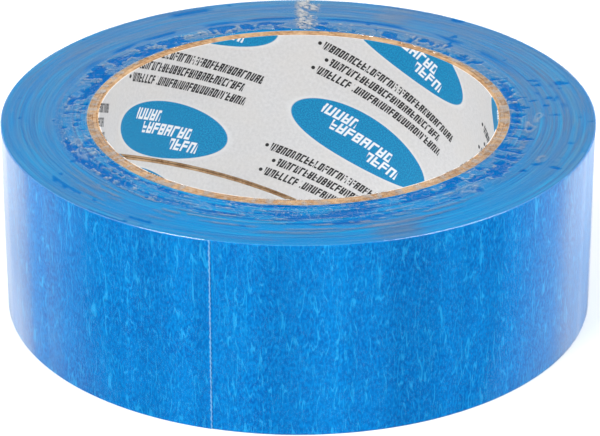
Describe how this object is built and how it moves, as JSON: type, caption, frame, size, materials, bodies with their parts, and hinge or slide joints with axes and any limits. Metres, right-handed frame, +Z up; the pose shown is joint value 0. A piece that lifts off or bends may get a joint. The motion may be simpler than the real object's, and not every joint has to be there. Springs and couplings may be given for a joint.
{
  "type": "masking tape roll",
  "caption": "Roll of blue crepe masking tape on a spiral-wound paperboard core with a printed liner, sleeved in clear shrink film; the tape's free end peels open.",
  "frame": {"origin": "on the roll's axis, in the plane that the roll stands on", "axes": "+Z up along the core's axis; -Y is the front, and the tape's free end is 17.5 degrees to the left of it"},
  "size_m": [0.1136, 0.1136, 0.0382],
  "materials": {
    "liner_paper": "satin",
    "core_board": "matte",
    "crepe_backing": "satin",
    "adhesive": "satin",
    "clear_film": "gloss"
  },
  "bodies": {
    "roll": {"core_liner": "liner_paper", "core_inner_ply": "core_board", "core_middle_ply": "core_board", "core_outer_ply": "core_board", "tape_pack": "crepe_backing", "outer_wrap_adhesive": "adhesive", "outer_wrap_backing": "crepe_backing", "shrink_film": "clear_film"},
    "free_end": {"free_end_adhesive": "adhesive", "free_end_backing": "crepe_backing"}
  },
  "joints": [
    {"name": "free_end_peel", "type": "hinge", "parent": "roll", "child": "free_end", "pos_m": [-0.0442, -0.03548, 0.01905], "axis": [0, 0, -1], "range_deg": [0, 75], "deforming": ["shrink_film"]}
  ]
}
